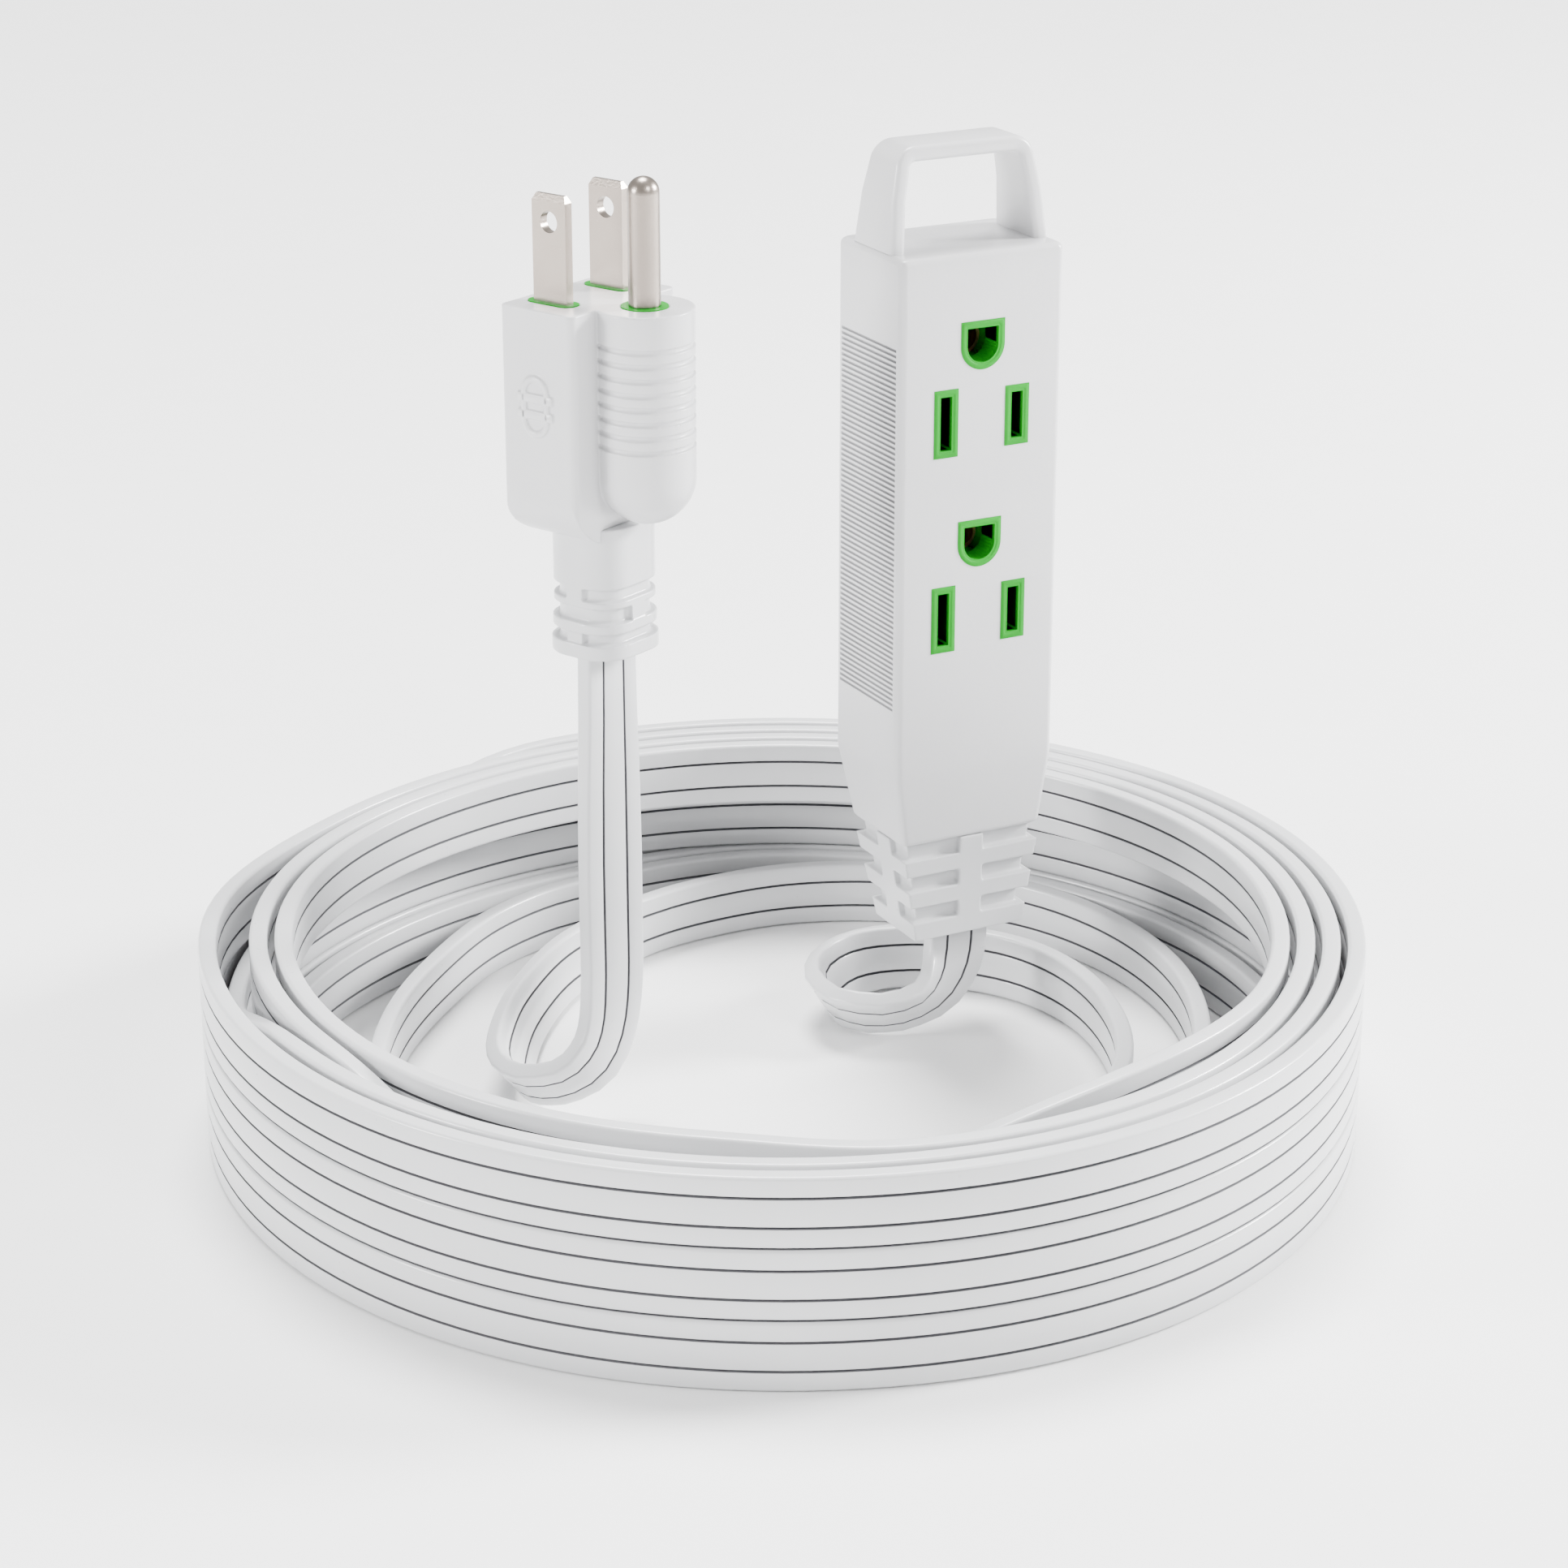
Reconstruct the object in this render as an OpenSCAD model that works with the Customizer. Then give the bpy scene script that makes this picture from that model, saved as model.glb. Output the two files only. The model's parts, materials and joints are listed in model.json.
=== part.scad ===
// Extension cord with a flat three-wire lead: a grounded plug, a coiled cord and a two-outlet block
// with a carry handle. Millimetres, +Z up. The origin is the middle of the coil on the surface that
// it lies on. The outlets face -Y. The plug stands turned by plug_turn about +Z.

/* [Cord] */
// Width of the flat cord
cord_w = 11; // [10.4:0.2:11]
// Thickness of the flat cord
cord_t = 2.8; // [2.4:0.1:3]
// Outer radius of one insulated conductor
wire_r = 1.3; // [1.1:0.1:1.4]

/* [Coil] */
// Outer radius of the coil
coil_r = 91; // [88:1:94]
// Distance from one turn to the next
turn_pitch = 3.9; // [3.9:0.1:4.1]
// Turns side by side in the top layer
top_turns = 4; // [3:1:5]
// Turns side by side in the middle layer
middle_turns = 2; // [1:1:3]
// Turns side by side in the bottom layer
bottom_turns = 3; // [2:1:4]

/* [Outlet block] */
// Width of the block
block_w = 29; // [28:0.5:31]
// Depth of the block
block_d = 20.5; // [20.5:0.5:23]
// Height of the straight part of the block
block_h = 84.5; // [84:0.5:90]
// Height of the tapered foot of the block
taper_h = 12; // [10:0.5:12.5]
// Height of the strain relief under the block
relief_h = 17; // [16.5:0.5:18]
// Height of the carry handle
handle_h = 16; // [14:0.5:20]
// Distance from one outlet to the next
outlet_gap = 32; // [31:0.5:33]
// Number of fine grip grooves on each side of the block
grip_grooves = 69; // [20:1:69]

/* [Plug] */
// Width of the plug body across its blades
plug_w = 23.8; // [23:0.2:26]
// Depth of the flat part of the plug body
plug_d = 13.9; // [13.5:0.1:15]
// Height of the plug body
plug_h = 35.5; // [35:0.5:38]
// Turn of the plug about its own length, in degrees
plug_turn = 25; // [0:1:40]

/* [Blades and pin] */
// Distance between the two flat blades
blade_gap = 12.7; // [12.6:0.1:12.8]
// Distance from the blades' line to the ground pin
ground_gap = 11.9; // [11.8:0.1:12]
// Width of a flat blade
blade_w = 6.3; // [6.1:0.1:6.6]
// Thickness of a flat blade
blade_t = 1.5; // [1.4:0.1:1.6]
// Length of a flat blade outside the plug
blade_l = 15.9; // [15.9:0.1:16.2]
// Radius of the ground pin
pin_r = 2.38; // [2.35:0.01:2.4]
// Length of the ground pin outside the plug
pin_l = 19; // [18.8:0.1:19.1]

/* [Hidden] */

white = "white";
green = "limegreen";
nickel = "silver";
brass = "goldenrod";
smooth = 48;
eps = 0.01;

// Where the block stands: the middle of its width, its front face and its foot
block_x = 39.5;
block_front = 9.3;
block_foot = 18.5;
taper_z = block_foot + relief_h;
body_z = taper_z + taper_h;
body_top = body_z + block_h;
// How far in from the front face the cord comes out of the strain relief
lead_in = 5.2;

// Block details
edge_r = 1.2;
wall = 1.8;
foot_w = 25.6;
foot_front = 0.5;
foot_back = 17.7;
relief_w = 20.2;
relief_front = 0.9;
relief_back = 14.1;
relief_skin = 1.3;
relief_rib = 4.3;
relief_row_h = 2.7;
relief_row_gap = 5.55;
relief_first_row = block_foot + 3.2;
groove_pitch = 0.86;
groove_deep = 0.3;
groove_high = 0.36;
groove_z = 59.2;

// Outlets: height of the blade slots' middle, slot sizes and the rim round each opening
upper_outlet_z = 105.5;
lower_outlet_z = upper_outlet_z - outlet_gap;
outlets = [upper_outlet_z, lower_outlet_z];
neutral_x = -blade_gap / 2;
line_x = blade_gap / 2;
slot_w = 2;
neutral_slot_h = 8.6;
line_slot_h = 7.4;
ground_hole_r = 2.75;
rim = 1.15;
rim_proud = 0.1;

// Contact carrier inside the block
carrier_w = block_w - 2 * wall;
carrier_y0 = wall;
carrier_y1 = 9;
carrier_y2 = block_d - 1.3;
carrier_z0 = 58;
carrier_z1 = body_top - 4;
pocket_y = 4;
leaf_t = 0.5;
leaf_gap = 1.4;
leaf_h = 6;
leaf_y0 = 5;
leaf_y1 = 16.3;
web_t = 0.5;
bar_t = 0.6;
bar_half = 2.2;
bar_z0 = 57;
bar_y = leaf_y1 + web_t;
ground_bar_x = 2.85;
ground_bar_y0 = 8;
ground_bar_y1 = 13;
sleeve_in = 2.35;
sleeve_out = 2.85;
sleeve_y0 = 6;
sleeve_y1 = 16;
crimp_r = 1.9;
crimp_l = 7;
wire_gap = 3.9;

// Plug: the middle of the blades' line, the face that the prongs come out of, and the heights below
plug_x = -27;
plug_y = 12.2;
plug_face = 132.3;
plug_bottom = plug_face - plug_h;
plug_back = -5.8;
plug_front = plug_back + plug_d;
plug_corner_r = 8;
plug_heel_r = 3;
barrel_r = 7.3;
barrel_v = 12;
barrel_low = plug_bottom + 10.2;
ridge_count = 8;
ridge_pitch = 2.14;
ridge_z = 112.1;
ridge_deep = 0.45;
ridge_high = 0.75;
plug_skin = 1.6;
blade_root = 112;
bridge_z = 116;
bridge_w = 20;
bridge_back = -4;
bridge_front = 6.3;
bridge_barrel_r = 5.5;
collar_w = 8.6;
collar_t = 3.6;
collar_r = 3.5;
blade_tip = plug_face + blade_l;
blade_hole_r = 1.6;
blade_hole_up = 11.9;
pin_tip = plug_face + pin_l;
// The pin is thinner where the bridge holds it, and its shoulder stands just clear of the collar
pin_root_r = 2.1;
pin_shoulder = plug_face + 0.2;

// Plug strain relief: its axis behind the pin, its half widths, its rows of windows from the top
gland_v = 3.4;
gland_u = 7.2;
gland_d = 6.6;
gland_r = 5;
gland_skin = 0.9;
gland_rib = 3;
gland_bottom = 78.8;
gland_top = plug_bottom + 2.2;
gland_rows = [[87.8, 89.7], [84.4, 86.7], [81, 82.8]];
gland_flare = 0.4;

// Route of the cord from the plug: down, round a loop on the floor, along the back of the coil,
// round its inside once and in under its bottom layer. Each row is a point and the direction from
// the cord's lower edge to its upper edge.
plug_route = [
    [[-25.5, 9, 78.8], [-9, -4, 0]],
    [[-25.5, 9, 68], [-9, -3.5, 0]],
    [[-25.5, 9, 56], [-9, -2.5, 0]],
    [[-25.5, 9, 44], [-9.5, -2, 0]],
    [[-25.5, 9, 33], [-9.5, -2, 0]],
    [[-25.5, 9, 23], [-9, -2, 1]],
    [[-26.5, 8.5, 15.5], [-9, -2.5, 4]],
    [[-29, 7.5, 10.5], [-7.5, -2.5, 6.5]],
    [[-33.5, 8.5, 7.5], [-6.5, -3.5, 7]],
    [[-38, 13, 6], [-7, -2, 7]],
    [[-38.5, 20.5, 5.6], [-6, -0.5, 8]],
    [[-34.5, 28.5, 5.5], [-5, 0.5, 8.5]],
    [[-29, 37.5, 5.5], [-4, 1, 9]],
    [[-22, 46, 5.5], [-2.5, 1.5, 9.5]],
    [[-13.5, 54.5, 5.5], [-1.5, 1.5, 10]],
    [[-2.5, 61, 5.5], [-0.5, 1, 10]],
    [[9, 65.5, 5.5], [0, 0, 10]],
    [[21.5, 67, 5.5], [0, 0, 10]],
    [[34.5, 66, 5.5], [0, 0, 10]],
    [[49, 60, 5.5], [0, 0, 10]],
    [[61, 49.5, 5.5], [0, 0, 10]],
    [[70, 35.5, 5.5], [0, 0, 10]],
    [[74, 19.5, 5.5], [0, 0, 10]],
    [[73.5, 3, 5.5], [0, 0, 10]],
    [[69, -12.5, 5.5], [0, 0, 10]],
    [[60.5, -28, 5.5], [0, 0, 10]],
    [[49, -42, 5.5], [0, 0, 10]],
    [[35, -57, 5.5], [0, 0, 10]],
    [[19, -68.5, 5.5], [0, 0, 10]],
    [[0, -74, 5.5], [0, 0, 10]],
    [[-19, -72.5, 5.5], [0, 0, 10]],
    [[-37, -65, 5.5], [0, 0, 10]],
    [[-52.5, -53, 5.5], [0, 0, 10]],
    [[-62.5, -38, 5.5], [0, 0, 10]],
    [[-67.5, -21, 5.5], [0, 0, 10]],
    [[-68, -3.5, 5.5], [0, 0, 10]],
    [[-64.5, 13.5, 5.5], [0, 0, 10]],
    [[-57, 29.5, 5.5], [0, 0, 10]],
    [[-47, 45, 5.5], [0, 0, 10]],
    [[-34.5, 58.5, 5.5], [0, 0, 10]],
    [[-19.5, 71, 5.5], [0, 0, 10]],
    [[-2.5, 78, 5.5], [0, 0, 10]]
];

// Route of the cord from the block: down, round a small loop, along the floor to the right, forward
// and back on itself behind the front of the coil, then up beside the coil into its top layer
outlet_route = [
    [[39.5, 14.5, 18.5], [-10, 0, 0]],
    [[39.5, 14.5, 16], [-10, 0, 0]],
    [[39, 14, 12.5], [-9, 0, 4]],
    [[36.5, 13, 8.5], [-6.5, -2, 7]],
    [[31.5, 11.5, 6], [-4, -5, 7.5]],
    [[25, 12.5, 5.2], [-4, -5.5, 7.5]],
    [[20, 17.5, 5.2], [-6, -2.5, 7.5]],
    [[19.5, 24.5, 5.3], [-5, 1, 8.5]],
    [[23.5, 30.5, 5.4], [-3, 3, 9]],
    [[30, 34, 5.5], [-1.5, 3, 9.5]],
    [[38, 33.5, 5.5], [0, 1.5, 10]],
    [[46.5, 29, 5.5], [0.5, 1, 10]],
    [[53, 21.5, 5.5], [1, 0.5, 10]],
    [[56.5, 12, 5.5], [0.5, 0, 10]],
    [[57, 1, 5.5], [0, 0, 10]],
    [[54.5, -10.5, 5.5], [0, 0, 10]],
    [[50, -21.5, 5.5], [0, 0, 10]],
    [[43.5, -31, 5.5], [0, 0, 10]],
    [[34.5, -38.5, 5.5], [0, 0, 10]],
    [[23.5, -43.5, 5.5], [0, 0, 10]],
    [[11, -45, 5.5], [0, 0, 10]],
    [[-2, -42, 5.5], [0, 0, 10]],
    [[-15, -36.5, 5.5], [0, 0, 10]],
    [[-28, -29, 5.5], [0, 0, 10]],
    [[-40, -23, 5.5], [0, 0, 10]],
    [[-51, -23.5, 5.5], [0, 0, 10]],
    [[-55.5, -32, 5.5], [0, 0, 10]],
    [[-51, -42, 6], [0, 0, 10]],
    [[-41, -51.5, 8], [0, 0, 10]],
    [[-28, -60, 12], [0, 0, 10]],
    [[-12.5, -67, 18], [0, 0, 10]],
    [[4, -71, 24], [0, 0, 10]],
    [[20, -72, 27.5], [0, 0, 10]]
];

function unit(v) = v / norm(v);
// Direction of a route at its point number i
function heading(route, i) =
    unit(route[min(i + 1, len(route) - 1)][0] - route[max(i - 1, 0)][0]);
// The cord's eight-cornered section: how far along its width and its thickness each corner is
half_w = cord_w / 2;
half_t = cord_t / 2;
chamfer = 0.7;
section = [
    [half_w, half_t - chamfer], [half_w - chamfer, half_t],
    [chamfer - half_w, half_t], [-half_w, half_t - chamfer],
    [-half_w, chamfer - half_t], [chamfer - half_w, -half_t],
    [half_w - chamfer, -half_t], [half_w, chamfer - half_t]
];
sides = len(section);
// One ring of the flat cord, square to the route, with its width turned as the route says
function ring(route, i) =
    let (
        along = heading(route, i),
        up = unit(route[i][1] - along * (route[i][1] * along)),
        out = cross(along, up)
    )
    [for (s = section) route[i][0] + up * s[0] + out * s[1]];
module flat_cord(route) {
    last = len(route) - 1;
    points = [for (i = [0:last]) each ring(route, i)];
    walls = [
        for (i = [0:last - 1], k = [0:sides - 1])
            let (a = i * sides + k, b = i * sides + (k + 1) % sides)
            each [[a, b, b + sides], [a, b + sides, a + sides]]
    ];
    start_cap = [[for (k = [sides - 1:-1:0]) k]];
    end_cap = [[for (k = [0:sides - 1]) last * sides + k]];
    polyhedron(points, concat(walls, start_cap, end_cap), convexity = 8);
}

// A round wire through a list of points: one ring of corners at each point, square to the wire
wire_sides = 12;
function wire_ring(points, i) =
    let (
        last = len(points) - 1,
        along = unit(points[min(i + 1, last)] - points[max(i - 1, 0)]),
        side = unit(cross(along, [0.3, 1, 0])),
        out = cross(along, side)
    )
    [for (k = [0:wire_sides - 1])
        points[i] + wire_r * (side * cos(k * 360 / wire_sides) + out * sin(k * 360 / wire_sides))];
module wire(points) {
    last = len(points) - 1;
    corners = [for (i = [0:last]) each wire_ring(points, i)];
    walls = [
        for (i = [0:last - 1], k = [0:wire_sides - 1])
            let (a = i * wire_sides + k, b = i * wire_sides + (k + 1) % wire_sides)
            each [[b, a, b + wire_sides], [b + wire_sides, a, a + wire_sides]]
    ];
    start_cap = [[for (k = [0:wire_sides - 1]) k]];
    end_cap = [[for (k = [wire_sides - 1:-1:0]) last * wire_sides + k]];
    polyhedron(corners, concat(walls, start_cap, end_cap), convexity = 6);
}
// The points of a wire that runs straight, slants across and ends straight, with eased corners
function wire_points(start, knee, shoulder, end) = [
    start, knee - [0, 0, 1.5], knee + 0.15 * (shoulder - knee),
    knee + 0.85 * (shoulder - knee), shoulder + [0, 0, 1.5], end
];
// A rectangle with true round corners, centred on the origin
module rounded_rect(w, d, r) {
    square([w - 2 * r, d], center = true);
    square([w, d - 2 * r], center = true);
    for (sx = [-1, 1], sy = [-1, 1])
        translate([sx * (w / 2 - r), sy * (d / 2 - r)])
            circle(r = r, $fn = smooth);
}
// A box from its low corner to its high corner
module span(low, high) {
    translate(low) cube(high - low);
}
// An outline in X and Z, drawn out along +Y from y0 to y1
module along_y(y0, y1) {
    translate([0, y1, 0]) rotate([90, 0, 0]) linear_extrude(y1 - y0) children();
}
// An outline in Y and Z, drawn out along +X from x0 to x1
module along_x(x0, x1) {
    translate([x0, 0, 0]) rotate([90, 0, 90]) linear_extrude(x1 - x0) children();
}
// Block frame: X from the middle of the block, Y from its front face, Z from the floor
module at_block() {
    translate([block_x, block_front, 0]) children();
}
// Plug frame: X across the blades, Y from the blades' line towards the ground pin. The turn also
// puts the ground pin towards the front.
module at_plug() {
    translate([plug_x, plug_y, 0]) rotate([0, 0, plug_turn]) mirror([0, 1, 0]) children();
}

// ---- The cord ----
module cord_coil() {
    color(white)
        rotate_extrude($fn = 180)
            coil_section();
}
function inner_radius(turns) = coil_r - (turns - 1) * turn_pitch - cord_t;
module coil_section() {
    bottom = inner_radius(bottom_turns);
    middle = inner_radius(middle_turns);
    top = inner_radius(top_turns);
    polygon([
        [bottom, 0], [coil_r, 0], [coil_r, 3 * cord_w], [top, 3 * cord_w],
        [top, 2 * cord_w], [middle, 2 * cord_w], [middle, cord_w], [bottom, cord_w]
    ]);
}
module plug_lead() {
    color(white) flat_cord(plug_route);
}
module outlet_lead() {
    color(white) flat_cord(outlet_route);
}

// ---- The outlet block ----
// The two shapes of opening in the block's face, grown by g, in X and Z
module slot_shape(x, z, h, g) {
    translate([x, z]) square([slot_w + 2 * g, h + 2 * g], center = true);
}
module ground_shape(z, g) {
    translate([0, z]) circle(r = ground_hole_r + g, $fn = smooth);
    translate([0, z + (ground_hole_r + g) / 2])
        square([2 * (ground_hole_r + g), ground_hole_r + g], center = true);
}
module outlet_shapes(g) {
    for (z = outlets) {
        slot_shape(neutral_x, z, neutral_slot_h, g);
        slot_shape(line_x, z, line_slot_h, g);
        ground_shape(z + ground_gap, g);
    }
}
module block_front_outline() {
    polygon([
        [-block_w / 2, body_z], [-block_w / 2, body_top], [block_w / 2, body_top],
        [block_w / 2, body_z], [foot_w / 2, taper_z], [-foot_w / 2, taper_z]
    ]);
}
module block_side_outline() {
    polygon([
        [0, body_z], [0, body_top], [block_d, body_top], [block_d, body_z],
        [foot_back, taper_z], [foot_front, taper_z]
    ]);
}
module grip_cuts(side) {
    for (i = [0:grip_grooves - 1])
        translate([side * block_w / 2, block_d / 2, groove_z + i * groove_pitch])
            cube([2 * groove_deep, block_d + 1, groove_high], center = true);
}
module block_cavity() {
    span([-carrier_w / 2, carrier_y0, carrier_z0], [carrier_w / 2, carrier_y2, carrier_z1]);
    span([-9, 3.5, body_z - eps], [9, carrier_y2, carrier_z0 + eps]);
    along_x(-9, 9) polygon([
        [3.5, body_z], [3.5, taper_z + 2], [8.5, taper_z + 2], [17.3, body_z - 1.5], [17.3, body_z]
    ]);
    span([-6, lead_in - 1.7, taper_z - eps], [6, lead_in + 1.7, body_z + eps]);
}
module outlet_body() {
    color(white) at_block() difference() {
        intersection() {
            along_y(0, block_d) block_front_outline();
            along_x(-block_w / 2, block_w / 2) block_side_outline();
            translate([0, block_d / 2, taper_z])
                linear_extrude(body_top - taper_z) rounded_rect(block_w, block_d, edge_r);
        }
        block_cavity();
        along_y(-eps, carrier_y0 + eps) outlet_shapes(rim);
        grip_cuts(-1);
        grip_cuts(1);
    }
}

// The handle: a trapezium frame whose legs lean in and whose top bar is narrower than its foot
handle_foot_w = 28;
handle_top_w = 25;
handle_foot_d = 12.5;
handle_top_d = 8.6;
handle_bar = 2.5;
handle_y = 10.4;
module handle_outline(inset) {
    top = body_top + handle_h - inset;
    foot = handle_foot_w / 2 - inset;
    head = handle_top_w / 2 - inset;
    polygon([[-foot, body_top - eps * sign(inset)], [foot, body_top - eps * sign(inset)], [head, top], [-head, top]]);
}
module handle_side_outline() {
    top = body_top + handle_h;
    polygon([
        [handle_y - handle_foot_d / 2, body_top], [handle_y + handle_foot_d / 2, body_top],
        [handle_y + handle_top_d / 2, top], [handle_y - handle_top_d / 2, top]
    ]);
}
module carry_handle() {
    color(white) at_block() difference() {
        intersection() {
            along_y(0, block_d) handle_outline(0);
            along_x(-block_w / 2, block_w / 2) handle_side_outline();
        }
        along_y(-1, block_d + 1) handle_outline(handle_bar);
    }
}

module relief_front_outline(skin) {
    polygon([
        [skin - foot_w / 2, taper_z], [foot_w / 2 - skin, taper_z],
        [relief_w / 2 - skin, block_foot], [skin - relief_w / 2, block_foot]
    ]);
}
module relief_side_outline(skin) {
    polygon([
        [foot_front + skin, taper_z], [foot_back - skin, taper_z],
        [relief_back - skin, block_foot], [relief_front + skin, block_foot]
    ]);
}
module relief_envelope(skin) {
    intersection() {
        along_y(0, block_d) relief_front_outline(skin);
        along_x(-block_w / 2, block_w / 2) relief_side_outline(skin);
    }
}
module relief_ribs() {
    middle = (relief_front + relief_back) / 2;
    span([-relief_rib / 2, -1, block_foot], [relief_rib / 2, block_d, taper_z]);
    span([-block_w / 2, middle - relief_rib / 2, block_foot], [block_w / 2, middle + relief_rib / 2, taper_z]);
}
module outlet_strain_relief() {
    color(white) at_block() difference() {
        relief_envelope(0);
        for (i = [0:2]) {
            z = relief_first_row + i * relief_row_gap;
            difference() {
                span([-block_w / 2, -1, z], [block_w / 2, block_d, z + relief_row_h]);
                relief_envelope(relief_skin);
                relief_ribs();
            }
        }
        span([-6, lead_in - 1.7, block_foot - 1], [6, lead_in + 1.7, taper_z + 1]);
    }
}

// The two halves of the contact carrier, with a rim that shows round each opening
module blade_pockets(y0, y1) {
    for (z = outlets, x = [neutral_x, line_x])
        span([x - 2.3, y0, z - 4.4], [x + 2.3, y1, z + 4.4]);
}
module ground_pockets(y0, y1) {
    for (z = outlets)
        span([-3, y0, z + ground_gap - 3.2], [3, y1, z + ground_gap + 3.2]);
}
module ground_bar_slot() {
    span([ground_bar_x - 0.1, ground_bar_y0 - 0.1, carrier_z0 - 1],
         [ground_bar_x + bar_t + 0.1, ground_bar_y1 + 0.1, upper_outlet_z + ground_gap + 3.6]);
}
module contact_carrier_front() {
    color(green) at_block() difference() {
        union() {
            span([-carrier_w / 2, carrier_y0, carrier_z0], [carrier_w / 2, carrier_y1, carrier_z1]);
            along_y(-rim_proud, carrier_y0 + eps) outlet_shapes(rim);
        }
        along_y(-1, pocket_y + eps) outlet_shapes(0);
        blade_pockets(pocket_y, carrier_y1 + 1);
        ground_pockets(pocket_y, carrier_y1 + 1);
        ground_bar_slot();
    }
}
module contact_carrier_back() {
    color(green) at_block() difference() {
        span([-carrier_w / 2, carrier_y1, carrier_z0], [carrier_w / 2, carrier_y2, carrier_z1]);
        blade_pockets(carrier_y1 - 1, bar_y + bar_t + 0.1);
        for (x = [neutral_x, line_x])
            span([x - bar_half - 0.1, leaf_y1 - 0.1, carrier_z0 - 1],
                 [x + bar_half + 0.1, bar_y + bar_t + 0.1, upper_outlet_z + 4.4]);
        ground_pockets(carrier_y1 - 1, carrier_y2 + 1);
        ground_bar_slot();
    }
}

// A flat strip behind the two blade contacts of one pole
module blade_busbar(x) {
    at_block() span([x - bar_half, bar_y, bar_z0], [x + bar_half, bar_y + bar_t, upper_outlet_z + 4]);
}
module neutral_busbar() {
    color(brass) blade_busbar(neutral_x);
}
module line_busbar() {
    color(brass) blade_busbar(line_x);
}
module ground_busbar() {
    color(brass) at_block()
        span([ground_bar_x, ground_bar_y0, bar_z0],
             [ground_bar_x + bar_t, ground_bar_y1, upper_outlet_z + ground_gap + 3]);
}
// A U-shaped clip whose two leaves grip a flat blade
module blade_contact(x, z) {
    at_block() translate([x, 0, z]) {
        for (s = [-1, 1]) {
            near = s * leaf_gap / 2;
            far = s * (leaf_gap / 2 + leaf_t);
            span([min(near, far), leaf_y0, -leaf_h / 2], [max(near, far), leaf_y1 + eps, leaf_h / 2]);
            lip = s * (leaf_gap / 2 + leaf_t + 0.6);
            span([min(near + s * leaf_t, lip), leaf_y0, -leaf_h / 2],
                 [max(near + s * leaf_t, lip), leaf_y0 + leaf_t, leaf_h / 2]);
        }
        span([-leaf_gap / 2 - leaf_t, leaf_y1, -leaf_h / 2],
             [leaf_gap / 2 + leaf_t, leaf_y1 + web_t, leaf_h / 2]);
    }
}
module upper_neutral_contact() {
    color(brass) blade_contact(neutral_x, upper_outlet_z);
}
module lower_neutral_contact() {
    color(brass) blade_contact(neutral_x, lower_outlet_z);
}
module upper_line_contact() {
    color(brass) blade_contact(line_x, upper_outlet_z);
}
module lower_line_contact() {
    color(brass) blade_contact(line_x, lower_outlet_z);
}
// A split sleeve that grips the round ground pin
module ground_contact(z) {
    at_block() translate([0, 0, z + ground_gap]) difference() {
        translate([0, sleeve_y1, 0]) rotate([90, 0, 0])
            cylinder(r = sleeve_out, h = sleeve_y1 - sleeve_y0, $fn = smooth);
        translate([0, sleeve_y1 + 1, 0]) rotate([90, 0, 0])
            cylinder(r = sleeve_in, h = sleeve_y1 - sleeve_y0 + 2, $fn = smooth);
        span([-0.6, sleeve_y0 - 1, 0], [0.6, sleeve_y1 + 1, 4]);
    }
}
module upper_ground_contact() {
    color(brass) ground_contact(upper_outlet_z);
}
module lower_ground_contact() {
    color(brass) ground_contact(lower_outlet_z);
}

// Crimps and wires in the block: where each pole's crimp is
neutral_crimp_at = [neutral_x, bar_y + bar_t / 2, bar_z0 - crimp_l];
line_crimp_at = [line_x, bar_y + bar_t / 2, bar_z0 - crimp_l];
ground_crimp_at = [ground_bar_x + bar_t / 2, 10.5, bar_z0 - crimp_l];
module crimp() {
    difference() {
        cylinder(r = crimp_r, h = crimp_l, $fn = smooth);
        translate([0, 0, -1]) cylinder(r = wire_r, h = crimp_l + 2, $fn = smooth);
    }
}
module outlet_neutral_crimp() {
    color(brass) at_block() translate(neutral_crimp_at) crimp();
}
module outlet_line_crimp() {
    color(brass) at_block() translate(line_crimp_at) crimp();
}
module outlet_ground_crimp() {
    color(brass) at_block() translate(ground_crimp_at) crimp();
}
module outlet_wire(lane, crimp_at) {
    x = lane * wire_gap;
    at_block() wire(wire_points(
        [x, lead_in, block_foot], [x, lead_in, body_z - 7.5],
        crimp_at - [0, 0, 1.5], crimp_at + [0, 0, crimp_l - 0.5]
    ));
}
module outlet_neutral_wire() {
    color("ivory") outlet_wire(-1, neutral_crimp_at);
}
module outlet_line_wire() {
    color("dimgray") outlet_wire(1, line_crimp_at);
}
module outlet_ground_wire() {
    color("green") outlet_wire(0, ground_crimp_at);
}

// ---- The plug ----
module plug_front_outline() {
    half = plug_w / 2;
    low = plug_bottom + plug_corner_r;
    translate([-half, low]) square([plug_w, plug_face - low]);
    translate([plug_corner_r - half, plug_bottom]) square([plug_w - 2 * plug_corner_r, plug_h]);
    for (s = [-1, 1])
        translate([s * (half - plug_corner_r), low]) circle(r = plug_corner_r, $fn = smooth);
}
module plug_side_outline() {
    low = plug_bottom + plug_heel_r;
    translate([plug_back, low]) square([plug_d, plug_face - low]);
    translate([plug_back + plug_heel_r, plug_bottom]) square([plug_d - plug_heel_r, plug_h]);
    translate([plug_back + plug_heel_r, low]) circle(r = plug_heel_r, $fn = smooth);
}
module plug_flat_part() {
    intersection() {
        along_y(plug_back, plug_front) plug_front_outline();
        along_x(-plug_w / 2, plug_w / 2) plug_side_outline();
        translate([0, (plug_back + plug_front) / 2, plug_bottom])
            linear_extrude(plug_h) rounded_rect(plug_w, plug_d, edge_r);
    }
}
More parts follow.
